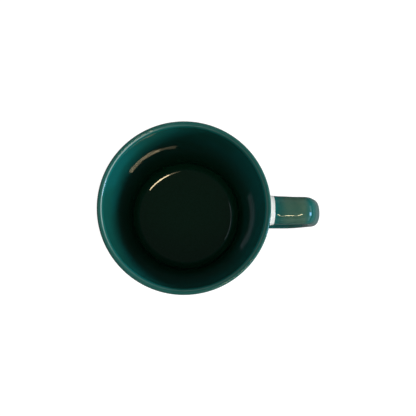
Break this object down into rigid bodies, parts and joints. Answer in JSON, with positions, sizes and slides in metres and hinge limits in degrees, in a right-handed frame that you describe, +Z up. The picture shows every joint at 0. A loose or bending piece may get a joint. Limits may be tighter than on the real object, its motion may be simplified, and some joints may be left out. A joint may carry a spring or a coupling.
{
  "type": "ceramic mug",
  "caption": "Round straight-sided ceramic mug with one loop handle, coloured inside and on the handle, white outside.",
  "frame": {"origin": "on the resting plane, under the middle of the whole object's box; the cup's own axis is 18.2 mm along -X from it", "axes": "+Z up out of the cup's mouth, +X from the cup towards the handle, +Y across the handle"},
  "size_m": [0.1184, 0.082, 0.095],
  "materials": {
    "fired_clay": "unglazed matt stoneware",
    "white_glaze": "glossy white glaze",
    "green_glaze": "glossy dark teal-green glaze"
  },
  "bodies": {
    "root": {"cup_body": "fired_clay", "handle": "fired_clay", "upper_root": "white_glaze", "lower_root": "white_glaze", "inner_glaze": "green_glaze", "outer_glaze": "white_glaze", "base_glaze": "white_glaze", "handle_glaze": "green_glaze"}
  },
  "joints": []
}
